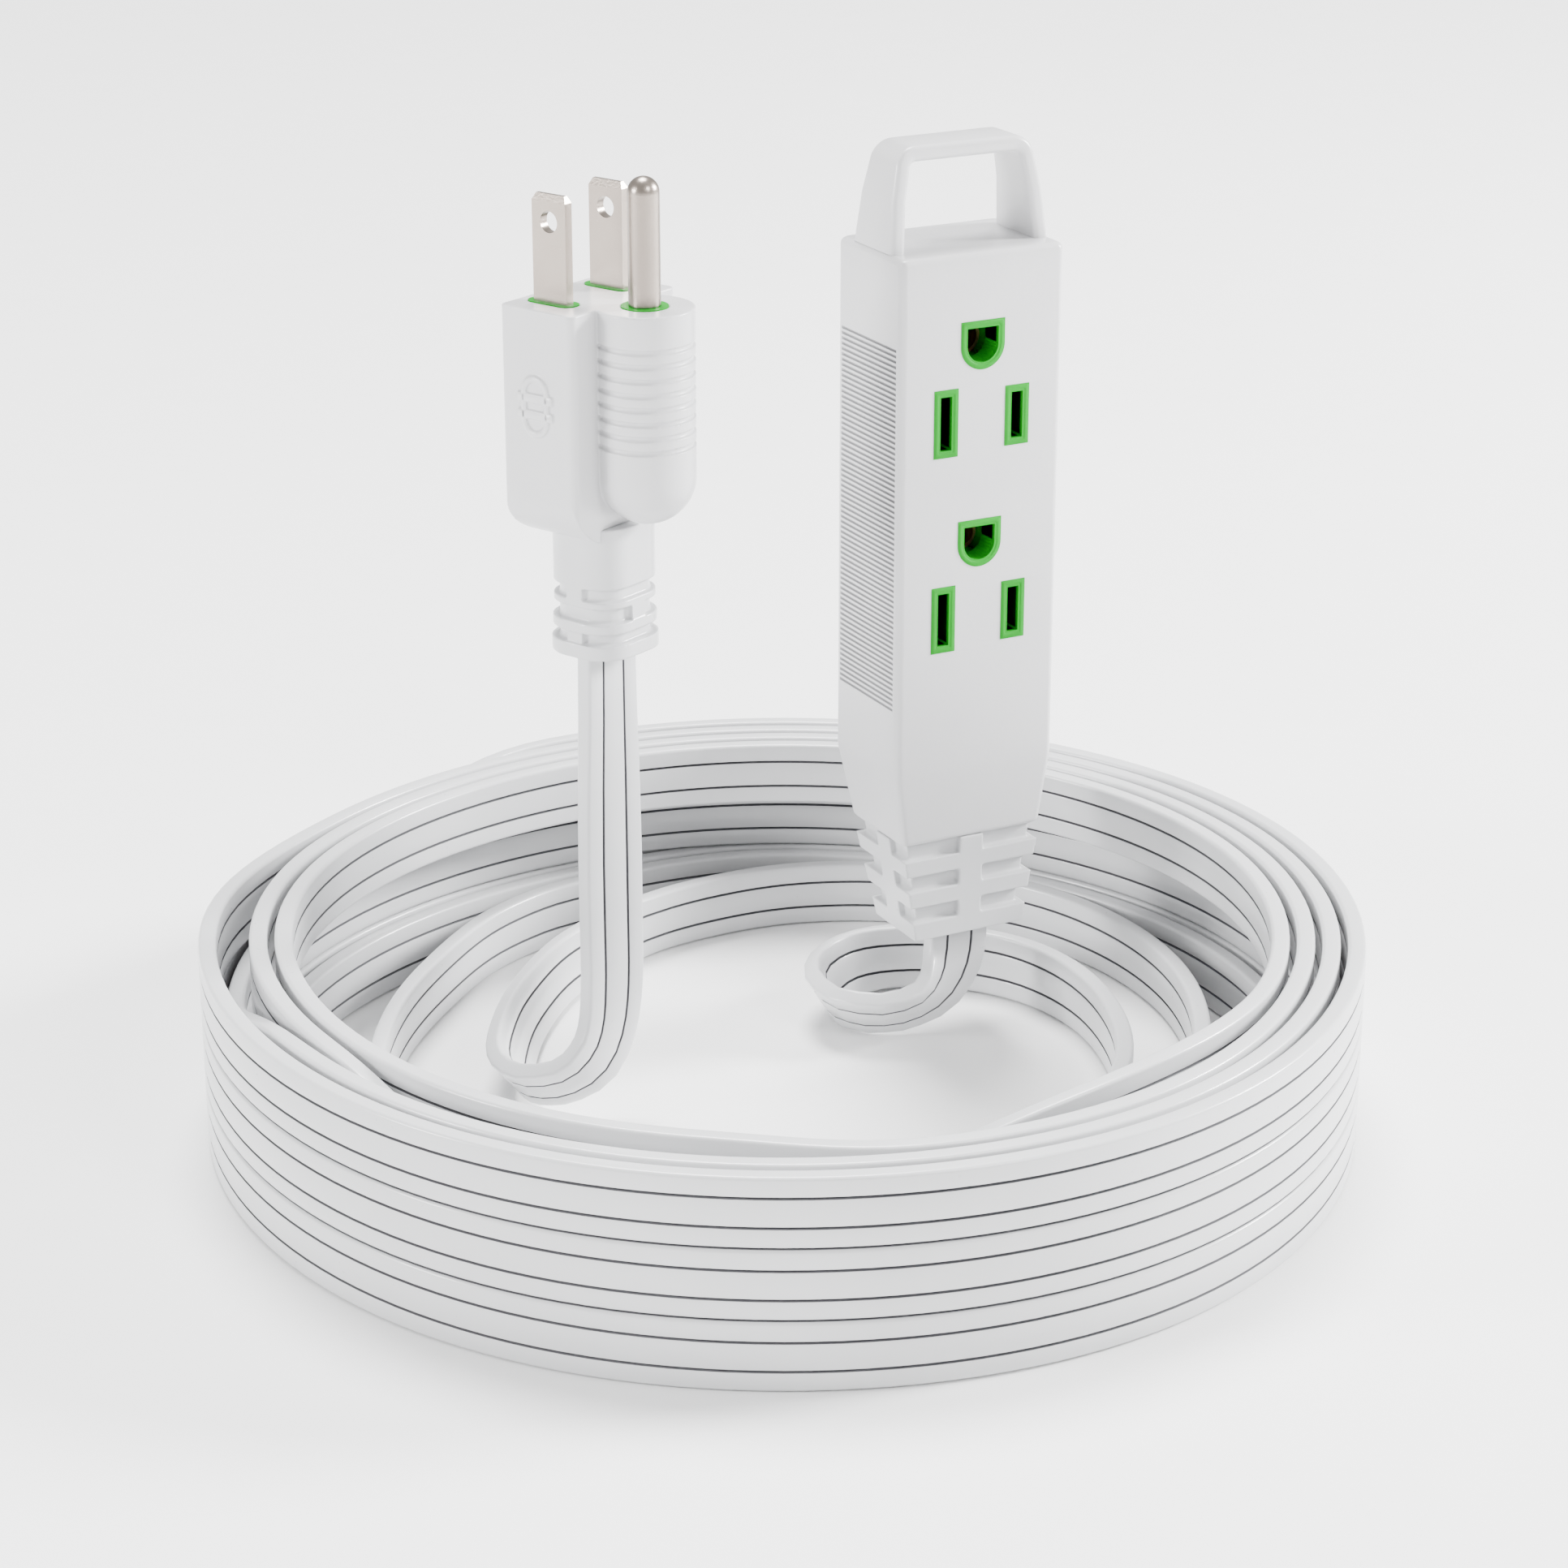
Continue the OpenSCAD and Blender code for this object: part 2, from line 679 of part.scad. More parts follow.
module plug_barrel() {
    difference() {
        translate([0, barrel_v, 0]) {
            translate([0, 0, barrel_low]) cylinder(r = barrel_r, h = plug_face - barrel_low, $fn = smooth);
            translate([0, 0, barrel_low]) sphere(r = barrel_r, $fn = smooth);
        }
        for (i = [0:ridge_count - 1])
            translate([0, barrel_v, ridge_z + i * ridge_pitch]) difference() {
                cylinder(r = barrel_r + 1, h = ridge_high, center = true, $fn = smooth);
                cylinder(r = barrel_r - ridge_deep, h = ridge_high + 1, center = true, $fn = smooth);
            }
    }
}
// A raised oval ring crossed by two bars, a grip mark on each flat side of the plug
mark_v = 1;
mark_z = 118;
mark_r = 2.6;
mark_h = 4.6;
mark_line = 0.9;
mark_bar_l = 6.6;
mark_bar_h = 1.25;
mark_bar_z = 1.25;
mark_out = 0.35;
module oval(r, h) {
    square([2 * r, 2 * (h - r)], center = true);
    for (s = [-1, 1])
        translate([0, s * (h - r)]) circle(r = r, $fn = smooth);
}
module grip_mark_shape() {
    difference() {
        oval(mark_r, mark_h);
        oval(mark_r - mark_line, mark_h - mark_line);
    }
    for (s = [-1, 1])
        translate([0, s * mark_bar_z]) square([mark_bar_l, mark_bar_h], center = true);
}
module plug_grip_marks() {
    for (s = [-1, 1]) {
        low = min(s * (plug_w / 2 - 0.3), s * (plug_w / 2 + mark_out));
        along_x(low, low + mark_out + 0.3) translate([mark_v, mark_z]) grip_mark_shape();
    }
}
module collar_shapes() {
    for (s = [-1, 1])
        translate([s * blade_gap / 2, 0]) rounded_rect(collar_t, collar_w, 1.7);
    translate([0, ground_gap]) circle(r = collar_r, $fn = smooth);
}
module bridge_shape() {
    translate([0, (bridge_back + bridge_front) / 2])
        square([bridge_w, bridge_front - bridge_back], center = true);
    translate([0, barrel_v]) circle(r = bridge_barrel_r, $fn = smooth);
    translate([0, 7]) square([9, 4], center = true);
}
module gland_shape(grow) {
    translate([0, gland_v]) rounded_rect(2 * (gland_u + grow), 2 * (gland_d + grow), gland_r + grow);
}
module plug_cavity() {
    translate([0, 0, bridge_z]) linear_extrude(plug_face - plug_skin - bridge_z) bridge_shape();
    translate([0, 0, bridge_z]) linear_extrude(plug_h) collar_shapes();
    span([-8.6, -2.5, 100.2], [8.6, 6.3, bridge_z + eps]);
    span([-2.6, 5, 104.5], [2.6, 14.2, bridge_z + eps]);
    along_x(-2, 2) polygon([[1.6, 99], [5, 99], [13.6, 106.3], [13.6, 110], [1.6, 110]]);
    translate([0, 0, plug_bottom - 1]) linear_extrude(gland_top - plug_bottom + 1) gland_shape(0);
    span([-6, gland_v - 2.4, gland_top - eps], [6, gland_v + 2.9, 101 + eps]);
}
module plug_body() {
    color(white) at_plug() difference() {
        union() {
            plug_flat_part();
            plug_barrel();
            plug_grip_marks();
        }
        plug_cavity();
    }
}
// The moulded carrier that holds the prongs; its collars show round them at the plug's face
module plug_bridge() {
    color(green) at_plug() difference() {
        union() {
            translate([0, 0, bridge_z]) linear_extrude(plug_face - plug_skin - bridge_z) bridge_shape();
            translate([0, 0, bridge_z]) linear_extrude(plug_face + rim_proud - bridge_z) collar_shapes();
        }
        for (s = [-1, 1])
            span([s * blade_gap / 2 - blade_t / 2, -blade_w / 2, bridge_z - 1],
                 [s * blade_gap / 2 + blade_t / 2, blade_w / 2, plug_face + 1]);
        translate([0, ground_gap, bridge_z - 1]) cylinder(r = pin_root_r, h = plug_face - bridge_z + 3, $fn = smooth);
    }
}
// A flat blade with a bevelled tip and a round hole through it
blade_bevel = 1;
module blade(side) {
    at_plug() translate([side * blade_gap / 2, 0, 0]) difference() {
        intersection() {
            along_y(-blade_w / 2, blade_w / 2) polygon([
                [-blade_t / 2, blade_root], [blade_t / 2, blade_root],
                [blade_t / 2, blade_tip - blade_bevel], [blade_t / 5, blade_tip],
                [-blade_t / 5, blade_tip], [-blade_t / 2, blade_tip - blade_bevel]
            ]);
            along_x(-blade_t / 2, blade_t / 2) polygon([
                [-blade_w / 2, blade_root], [blade_w / 2, blade_root],
                [blade_w / 2, blade_tip - blade_bevel], [blade_w / 2 - blade_bevel / 2, blade_tip],
                [blade_bevel / 2 - blade_w / 2, blade_tip], [-blade_w / 2, blade_tip - blade_bevel]
            ]);
        }
        translate([-blade_t, 0, plug_face + blade_hole_up]) rotate([0, 90, 0])
            cylinder(r = blade_hole_r, h = 2 * blade_t, $fn = smooth);
    }
}
module plug_neutral_blade() {
    color(nickel) blade(-1);
}
module plug_line_blade() {
    color(nickel) blade(1);
}
module plug_ground_pin() {
    color(nickel) at_plug() translate([0, ground_gap, 0]) {
        translate([0, 0, bridge_z]) cylinder(r = pin_root_r, h = pin_shoulder - bridge_z, $fn = smooth);
        translate([0, 0, pin_shoulder]) cylinder(r = pin_r, h = pin_tip - pin_r - pin_shoulder, $fn = smooth);
        translate([0, 0, pin_tip - pin_r]) sphere(r = pin_r, $fn = smooth);
    }
}
// Crimps and wires in the plug
blade_crimp_z = blade_root - crimp_l;
ground_crimp_z = bridge_z - crimp_l;
module plug_neutral_crimp() {
    color(brass) at_plug() translate([-blade_gap / 2, 0, blade_crimp_z]) crimp();
}
module plug_line_crimp() {
    color(brass) at_plug() translate([blade_gap / 2, 0, blade_crimp_z]) crimp();
}
module plug_ground_crimp() {
    color(brass) at_plug() translate([0, ground_gap, ground_crimp_z]) crimp();
}
module plug_wire(lane, end_xy, crimp_z) {
    knee_z = gland_top + 1;
    at_plug() wire(wire_points(
        [lane * wire_gap, gland_v, gland_bottom], [lane * wire_gap, gland_v, knee_z],
        [end_xy[0], end_xy[1], crimp_z - 2], [end_xy[0], end_xy[1], crimp_z + crimp_l - 0.5]
    ));
}
module plug_neutral_wire() {
    color("ivory") plug_wire(-1, [-blade_gap / 2, 0], blade_crimp_z);
}
module plug_line_wire() {
    color("dimgray") plug_wire(1, [blade_gap / 2, 0], blade_crimp_z);
}
module plug_ground_wire() {
    color("green") plug_wire(0, [0, ground_gap], ground_crimp_z);
}
// The ribbed sleeve under the plug. Every second row of windows is turned by a quarter.
module gland_row(i) {
    low = gland_rows[i][0];
    high = gland_rows[i][1];
    difference() {
        translate([0, 0, low]) linear_extrude(high - low) gland_shape(2);
        translate([0, 0, low - 1]) linear_extrude(high - low + 2) gland_shape(-gland_skin);
        if (i % 2 == 0)
            span([-12, gland_v - gland_rib / 2, low - 1], [12, gland_v + gland_rib / 2, high + 1]);
        else
            span([-gland_rib / 2, -12, low - 1], [gland_rib / 2, 16, high + 1]);
    }
}
module plug_strain_relief() {
    color(white) at_plug() difference() {
        union() {
            translate([0, 0, gland_bottom]) linear_extrude(gland_top - gland_bottom) gland_shape(0);
            translate([0, 0, gland_bottom])
                linear_extrude(gland_rows[2][0] - gland_bottom) gland_shape(gland_flare);
            translate([0, 0, gland_rows[2][1]])
                linear_extrude(gland_rows[1][0] - gland_rows[2][1]) gland_shape(gland_flare / 2);
        }
        for (i = [0:2]) gland_row(i);
        span([-5.4, gland_v - 2.4, gland_bottom - 1], [5.4, gland_v + 2.4, gland_top + 1]);
    }
}

cord_coil();
plug_lead();
outlet_lead();
outlet_body();
carry_handle();
outlet_strain_relief();
contact_carrier_front();
contact_carrier_back();
neutral_busbar();
line_busbar();
ground_busbar();
upper_neutral_contact();
lower_neutral_contact();
upper_line_contact();
lower_line_contact();
upper_ground_contact();
lower_ground_contact();
outlet_neutral_crimp();
outlet_line_crimp();
outlet_ground_crimp();
outlet_neutral_wire();
outlet_line_wire();
outlet_ground_wire();
plug_body();
plug_bridge();
plug_strain_relief();
plug_neutral_blade();
plug_line_blade();
plug_ground_pin();
plug_neutral_crimp();
plug_line_crimp();
plug_ground_crimp();
plug_neutral_wire();
plug_line_wire();
plug_ground_wire();
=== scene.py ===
import json
import math

import bmesh
import bpy
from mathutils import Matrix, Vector


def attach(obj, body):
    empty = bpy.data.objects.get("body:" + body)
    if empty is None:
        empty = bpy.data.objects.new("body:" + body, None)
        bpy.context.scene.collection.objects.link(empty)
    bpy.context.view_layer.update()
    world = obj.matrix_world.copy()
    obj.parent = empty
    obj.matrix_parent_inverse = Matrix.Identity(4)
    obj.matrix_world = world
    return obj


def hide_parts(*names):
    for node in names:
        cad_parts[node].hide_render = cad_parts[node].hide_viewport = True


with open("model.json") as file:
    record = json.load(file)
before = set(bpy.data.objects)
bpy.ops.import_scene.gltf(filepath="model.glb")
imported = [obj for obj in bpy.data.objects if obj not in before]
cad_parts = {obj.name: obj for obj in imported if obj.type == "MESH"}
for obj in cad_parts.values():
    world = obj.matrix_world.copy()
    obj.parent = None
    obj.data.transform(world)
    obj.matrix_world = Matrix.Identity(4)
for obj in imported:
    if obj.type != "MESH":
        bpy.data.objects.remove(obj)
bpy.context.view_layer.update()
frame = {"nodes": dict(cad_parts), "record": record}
MM = 0.001

# ---------------------------------------------------------------- sizes, in millimetres
CORD_W, CORD_T = 10.75, 2.8
RIB_GROOVE, GROOVE_DEEP, GROOVE_LIP = 2.24, 0.8, 0.22    # the cord's grooves: off the middle, depth, half width
PITCH = 3.9                              # from one turn of the coil to the next
COIL_R = 91.0
ROW_Z = [5.5, 16.5, 27.5]                # heights of the coil's three layers
STEP = 2.5                               # spacing of the points along the cord, in degrees or millimetres
BX, BY = 39.5, 9.3                       # middle of the block's width, its front face
TAPER, BODY, TOP = 35.5, 47.5, 132.0     # bottom of the block's taper, top of the taper, top of the block
BLOCK_W, BLOCK_D = 29.0, 20.5
FOOT_W, FOOT_FRONT, FOOT_BACK, FOOT_ROUND = 25.6, 0.5, 17.7, 0.8    # the taper's lower end
SIDE_GROOVES, SIDE_PITCH, SIDE_Z, SIDE_DEEP = 69, 0.86, 59.2, 0.34
PX, PY, PTURN = -27.0, 12.2, math.radians(25)            # the plug's middle and its turn
OUTLETS = [105.5, 73.5]                  # heights of the two outlets' slots
SLOT_X, SLOT_W, TALL_SLOT, SHORT_SLOT = 6.35, 2.0, 8.6, 7.4
GROUND_UP, GROUND_R = 11.9, 2.75         # the ground opening: above the slots, half width
RIM = 1.12                               # width of the green rims
HANDLE_FOOT, HANDLE_HEAD, HANDLE_TOP, HANDLE_BEND = 14.0, 12.5, 16.0, 3.6
HANDLE_T, HANDLE_DEEP, HANDLE_THIN, HANDLE_Y = 2.5, 12.5, 8.6, 10.4
QUARTER = (0, 22, 45, 67, 90)            # degrees of the points of a rounded corner


# ---------------------------------------------------------------- helpers
def new_object(name, verts, faces, smooth=True):
    mesh = bpy.data.meshes.new(name)
    mesh.from_pydata([(x * MM, y * MM, z * MM) for x, y, z in verts], [], faces)
    mesh.validate()
    mesh.update()
    if smooth:
        mesh.polygons.foreach_set("use_smooth", [True] * len(mesh.polygons))
    obj = bpy.data.objects.new(name, mesh)
    bpy.context.scene.collection.objects.link(obj)
    return obj


def loft(rings, closed=False, caps=True):
    """Quads between equal rings of points. closed joins the last ring to the first."""
    n = len(rings[0])
    verts = [p for ring in rings for p in ring]
    faces = []
    pairs = len(rings) if closed else len(rings) - 1
    for i in range(pairs):
        j = (i + 1) % len(rings)
        for k in range(n):
            faces.append((i * n + k, i * n + (k + 1) % n, j * n + (k + 1) % n, j * n + k))
    if caps and not closed:
        faces.append(tuple(range(n - 1, -1, -1)))
        faces.append(tuple((len(rings) - 1) * n + k for k in range(n)))
    return verts, faces


def fix_normals(obj):
    bm = bmesh.new()
    bm.from_mesh(obj.data)
    bmesh.ops.recalc_face_normals(bm, faces=bm.faces)
    bm.to_mesh(obj.data)
    bm.free()


def join_lists(parts):
    verts, faces = [], []
    for v, f in parts:
        base = len(verts)
        verts += v
        faces += [tuple(i + base for i in face) for face in f]
    return verts, faces


def apply_modifiers(obj):
    deps = bpy.context.evaluated_depsgraph_get()
    mesh = bpy.data.meshes.new_from_object(obj.evaluated_get(deps))
    old = obj.data
    obj.modifiers.clear()
    obj.data = mesh
    bpy.data.meshes.remove(old)


def smooth_by_angle(obj, degrees=35):
    obj.data.polygons.foreach_set("use_smooth", [True] * len(obj.data.polygons))
    obj.data.set_sharp_from_angle(angle=math.radians(degrees))


def cut(obj, cutters):
    for c in cutters:
        mod = obj.modifiers.new("cut", "BOOLEAN")
        mod.operation = "DIFFERENCE"
        mod.solver = "EXACT"
        mod.object = c
    apply_modifiers(obj)
    for c in cutters:
        bpy.data.objects.remove(c)


def smoothstep(t):
    t = min(1.0, max(0.0, t))
    return t * t * (3 - 2 * t)


def block(x, y, z):
    return (BX + x, BY + y, z)


def plug(u, v, z):
    c, s = math.cos(PTURN), math.sin(PTURN)
    return (PX + u * c + v * s, PY + u * s - v * c, z)


def rounded_rect(w, d, r, steps=5):
    pts = []
    for cx, cy, a0 in ((1, 1, 0), (-1, 1, 90), (-1, -1, 180), (1, -1, 270)):
        for i in range(steps + 1):
            a = math.radians(a0 + 90 * i / steps)
            pts.append((cx * (w / 2 - r) + r * math.cos(a), cy * (d / 2 - r) + r * math.sin(a)))
    return pts


# ---------------------------------------------------------------- materials
def material(name, base, rough, metallic=0.0, coat=0.0, grain_scale=900.0, bump=0.0, tint=0.02, specular=0.5):
    """Moulded plastic or plated metal: cloudy colour, and a fine grain in roughness and bump."""
    cloud_scale, rough_varies, bump_height = 60.0, 0.06, 0.0002
    mat = bpy.data.materials.new(name)
    mat.use_nodes = True
    nodes, links = mat.node_tree.nodes, mat.node_tree.links
    shader = nodes["Principled BSDF"]
    shader.inputs["Metallic"].default_value = metallic
    shader.inputs["Specular IOR Level"].default_value = specular
    shader.inputs["Coat Weight"].default_value = coat
    shader.inputs["Coat Roughness"].default_value = 0.12
    coord = nodes.new("ShaderNodeTexCoord")
    cloud = nodes.new("ShaderNodeTexNoise")
    cloud.inputs["Scale"].default_value = cloud_scale
    cloud.inputs["Detail"].default_value = 4.0
    links.new(coord.outputs["Object"], cloud.inputs["Vector"])
    ramp = nodes.new("ShaderNodeValToRGB")
    darker = tuple(c * (1 - tint) for c in base)
    ramp.color_ramp.elements[0].position = 0.35
    ramp.color_ramp.elements[1].position = 0.65
    ramp.color_ramp.elements[0].color = (*darker, 1)
    ramp.color_ramp.elements[1].color = (*base, 1)
    links.new(cloud.outputs["Fac"], ramp.inputs["Fac"])
    links.new(ramp.outputs["Color"], shader.inputs["Base Color"])
    fine = nodes.new("ShaderNodeTexNoise")
    fine.inputs["Scale"].default_value = grain_scale
    fine.inputs["Detail"].default_value = 6.0
    links.new(coord.outputs["Object"], fine.inputs["Vector"])
    spread = nodes.new("ShaderNodeMapRange")
    spread.inputs["To Min"].default_value = max(0.02, rough - rough_varies)
    spread.inputs["To Max"].default_value = min(1.0, rough + rough_varies)
    links.new(fine.outputs["Fac"], spread.inputs["Value"])
    links.new(spread.outputs["Result"], shader.inputs["Roughness"])
    relief = nodes.new("ShaderNodeBump")
    relief.inputs["Strength"].default_value = bump
    relief.inputs["Distance"].default_value = bump_height
    links.new(fine.outputs["Fac"], relief.inputs["Height"])
    links.new(relief.outputs["Normal"], shader.inputs["Normal"])
    return mat


WHITE_PVC = material("white_cord_pvc", (0.60, 0.605, 0.615), 0.30, coat=0.25, bump=0.08, tint=0.03)
WHITE_SHELL = material("white_moulded_shell", (0.62, 0.62, 0.63), 0.32, coat=0.2, bump=0.12, tint=0.02)
GREEN = material("green_carrier", (0.004, 0.28, 0.013), 0.5, bump=0.1, tint=0.12, specular=0.12)
NICKEL = material("nickel_plate", (0.36, 0.31, 0.27), 0.30, metallic=1.0, bump=0.12, tint=0.14,
                  grain_scale=2600.0)
BRASS = material("contact_brass", (0.68, 0.38, 0.17), 0.32, metallic=1.0, bump=0.15, tint=0.2)
NEUTRAL = material("white_insulation", (0.78, 0.77, 0.72), 0.5, bump=0.1, tint=0.05)
LINE = material("black_insulation", (0.02, 0.02, 0.02), 0.45, bump=0.1, tint=0.3)
GROUND = material("green_insulation", (0.02, 0.25, 0.06), 0.45, bump=0.1, tint=0.2)
# painted shade: a dark colour standing in for the shadow in the cord's grooves and in the joints between the
# coil's rows
CORD_CREASE_PAINTED_SHADE = material("cord_crease_painted_shade", (0.16, 0.16, 0.17), 0.5, bump=0.05, tint=0.06, specular=0.2)
# painted shade: a grey standing in for the shadow in the block's side grooves
SIDE_GROOVE_PAINTED_SHADE = material("side_groove_painted_shade", (0.34, 0.34, 0.35), 0.5, bump=0.05, tint=0.06, specular=0.2)
FLOOR = material("paper_floor", (0.92, 0.92, 0.92), 0.75, bump=0.02, tint=0.01, specular=0.2)

BY_SLOT = {
    "cord_jacket": WHITE_PVC, "white_shell": WHITE_SHELL, "green_carrier": GREEN, "nickel_plate": NICKEL,
    "contact_metal": BRASS, "neutral_wire": NEUTRAL, "line_wire": LINE, "ground_wire": GROUND,
}


def dress(obj, mat, slot, *replaced):
    obj.data.materials.clear()
    obj.data.materials.append(mat)
    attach(obj, "root")
    if replaced:
        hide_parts(*replaced)


def piece(name, mesh, mat, slot, degrees, *replaced):
    """A finished piece of the visual model, from its lists of points and faces."""
    obj = new_object(name, *mesh)
    fix_normals(obj)
    smooth_by_angle(obj, degrees)
    dress(obj, mat, slot, *replaced)
    return obj


for entry in frame["record"]["subparts"]:
    node = frame["nodes"].get(entry["node"])
    if node is not None:
        node.data.materials.clear()
        node.data.materials.append(BY_SLOT[entry["material_slot"]])
        smooth_by_angle(node, 30)

# ---------------------------------------------------------------- the flat cord
# Each row: a point of the centreline and the direction from the cord's lower edge to its upper edge.
PLUG_ROUTE = [
    ((-25.5, 9, 78.8), (-9, -4, 0)),
    ((-25.5, 9, 68), (-9, -3.5, 0)),
    ((-25.5, 9, 56), (-9, -2.5, 0)),
    ((-25.5, 9, 44), (-9.5, -2, 0)),
    ((-25.5, 9, 33), (-9.5, -2, 0)),
    ((-25.5, 9, 23), (-9, -2, 1)),
    ((-26.5, 8.5, 15.5), (-9, -2.5, 4)),
    ((-29, 7.5, 10.5), (-7.5, -2.5, 6.5)),
    ((-33.5, 8.5, 7.5), (-6.5, -3.5, 7)),
    ((-38, 13, 6), (-7, -2, 7)),
    ((-38.5, 20.5, 5.6), (-6, -0.5, 8)),
    ((-34.5, 28.5, 5.5), (-5, 0.5, 8.5)),
    ((-29, 37.5, 5.5), (-4, 1, 9)),
    ((-22, 46, 5.5), (-2.5, 1.5, 9.5)),
    ((-13.5, 54.5, 5.5), (-1.5, 1.5, 10)),
    ((-2.5, 61, 5.5), (-0.5, 1, 10)),
    ((9, 65.5, 5.5), (0, 0, 10)),
    ((21.5, 67, 5.5), (0, 0, 10)),
    ((34.5, 66, 5.5), (0, 0, 10)),
    ((49, 60, 5.5), (0, 0, 10)),
    ((61, 49.5, 5.5), (0, 0, 10)),
    ((70, 35.5, 5.5), (0, 0, 10)),
    ((74, 19.5, 5.5), (0, 0, 10)),
    ((73.5, 3, 5.5), (0, 0, 10)),
    ((69, -12.5, 5.5), (0, 0, 10)),
    ((60.5, -28, 5.5), (0, 0, 10)),
    ((49, -42, 5.5), (0, 0, 10)),
    ((35, -57, 5.5), (0, 0, 10)),
    ((19, -68.5, 5.5), (0, 0, 10)),
    ((0, -74, 5.5), (0, 0, 10)),
    ((-19, -72.5, 5.5), (0, 0, 10)),
    ((-37, -65, 5.5), (0, 0, 10)),
    ((-52.5, -53, 5.5), (0, 0, 10)),
    ((-62.5, -38, 5.5), (0, 0, 10)),
    ((-67.5, -21, 5.5), (0, 0, 10)),
    ((-68, -3.5, 5.5), (0, 0, 10)),
    ((-64.5, 13.5, 5.5), (0, 0, 10)),
    ((-57, 29.5, 5.5), (0, 0, 10)),
    ((-47, 45, 5.5), (0, 0, 10)),
    ((-34.5, 58.5, 5.5), (0, 0, 10)),
    ((-19.5, 71, 5.5), (0, 0, 10)),
    ((-2.5, 78, 5.5), (0, 0, 10)),
]
OUTLET_ROUTE = [
    ((39.5, 14.5, 18.5), (-10, 0, 0)),
    ((39.5, 14.5, 16), (-10, 0, 0)),
    ((39, 14, 12.5), (-9, 0, 4)),
    ((36.5, 13, 8.5), (-6.5, -2, 7)),
    ((31.5, 11.5, 6), (-4, -5, 7.5)),
    ((25, 12.5, 5.2), (-4, -5.5, 7.5)),
    ((20, 17.5, 5.2), (-6, -2.5, 7.5)),
    ((19.5, 24.5, 5.3), (-5, 1, 8.5)),
    ((23.5, 30.5, 5.4), (-3, 3, 9)),
    ((30, 34, 5.5), (-1.5, 3, 9.5)),
    ((38, 33.5, 5.5), (0, 1.5, 10)),
    ((46.5, 29, 5.5), (0.5, 1, 10)),
    ((53, 21.5, 5.5), (1, 0.5, 10)),
    ((56.5, 12, 5.5), (0.5, 0, 10)),
    ((57, 1, 5.5), (0, 0, 10)),
    ((54.5, -10.5, 5.5), (0, 0, 10)),
    ((50, -21.5, 5.5), (0, 0, 10)),
    ((43.5, -31, 5.5), (0, 0, 10)),
    ((34.5, -38.5, 5.5), (0, 0, 10)),
    ((23.5, -43.5, 5.5), (0, 0, 10)),
    ((11, -45, 5.5), (0, 0, 10)),
    ((-2, -42, 5.5), (0, 0, 10)),
    ((-15, -36.5, 5.5), (0, 0, 10)),
    ((-28, -29, 5.5), (0, 0, 10)),
    ((-40, -23, 5.5), (0, 0, 10)),
    ((-51, -23.5, 5.5), (0, 0, 10)),
    ((-55.5, -32, 5.5), (0, 0, 10)),
    ((-51, -42, 6), (0, 0, 10)),
    ((-41, -51.5, 8), (0, 0, 10)),
    ((-28, -60, 12), (0, 0, 10)),
    ((-12.5, -67, 18), (0, 0, 10)),
    ((4, -71, 24), (0, 0, 10)),
    ((20, -72, 27.5), (0, 0, 10)),
]


def column(n):
    return COIL_R - CORD_T / 2 - (n - 1) * PITCH


# Where the winding changes place: angle in degrees (running down, clockwise from above), radius, height.
WINDING = [
    (88, 78.3, ROW_Z[0]), (62.5, column(3), ROW_Z[0]),
    (-267.5, column(3), ROW_Z[0]), (-297.5, column(2), ROW_Z[0]),
    (-627.5, column(2), ROW_Z[0]), (-657.5, column(1), ROW_Z[0]),
    (-957.5, column(1), ROW_Z[0]), (-987.5, column(1), ROW_Z[1]),
    (-1317.5, column(1), ROW_Z[1]), (-1347.5, column(1), ROW_Z[2]),
    (-1647.5, column(1), ROW_Z[2]), (-1677.5, column(2), ROW_Z[2]),
    (-1975, column(2), ROW_Z[2]), (-2005, column(2), ROW_Z[1]),
    (-2285, column(2), ROW_Z[1]), (-2305, column(3), ROW_Z[1]),
    (-2330, column(3), ROW_Z[2]),
    (-2625, column(3), ROW_Z[2]), (-2645, column(4), ROW_Z[2]),
    (-2925, column(4), ROW_Z[2]), (-2952, 75.0, ROW_Z[2]),
]


def winding_points():
    out = []
    for (a0, r0, z0), (a1, r1, z1) in zip(WINDING, WINDING[1:]):
        n = max(2, int(abs(a1 - a0) / STEP))
        for i in range(n):
            t = i / n
            a = math.radians(a0 + (a1 - a0) * t)
            e = smoothstep(t)
            # the hank is not quite round: the same slow waver on every turn keeps the gaps even
            waver = 0.30 * math.sin(3 * a + 0.6) + 0.22 * math.sin(5 * a + 1.9)
            r = r0 + (r1 - r0) * e + waver - 0.3
            z = z0 + (z1 - z0) * e
            out.append((Vector((r * math.cos(a), r * math.sin(a), z)), Vector((0, 0, 10))))
    return out


def catmull(rows):
    """A smooth line through given points, with the width's direction carried along."""
    pts = [Vector(p) for p, _ in rows]
    ups = [Vector(u) for _, u in rows]
    out = []
    for i in range(len(pts) - 1):
        p0, p1, p2, p3 = (pts[max(i - 1, 0)], pts[i], pts[i + 1], pts[min(i + 2, len(pts) - 1)])
        n = max(2, int((p2 - p1).length / STEP))
        for k in range(n):
            t = k / n
            q = 0.5 * ((2 * p1) + (p2 - p0) * t + (2 * p0 - 5 * p1 + 4 * p2 - p3) * t * t
                       + (3 * p1 - p0 - 3 * p2 + p3) * t * t * t)
            out.append((q, ups[i].lerp(ups[i + 1], t)))
    out.append((pts[-1], ups[-1]))
    return out


def evened(rows, rounds=4):
    """The same line with its joins smoothed, each point drawn towards the middle of its neighbours."""
    for _ in range(rounds):
        pts = [p for p, _ in rows]
        inner = [((pts[i - 1] + 2 * pts[i] + pts[i + 1]) / 4, rows[i][1]) for i in range(1, len(rows) - 1)]
        rows = [rows[0]] + inner + [rows[-1]]
    return rows


line = catmull(PLUG_ROUTE)[:-1] + winding_points() + list(reversed(catmull(OUTLET_ROUTE)))[1:]
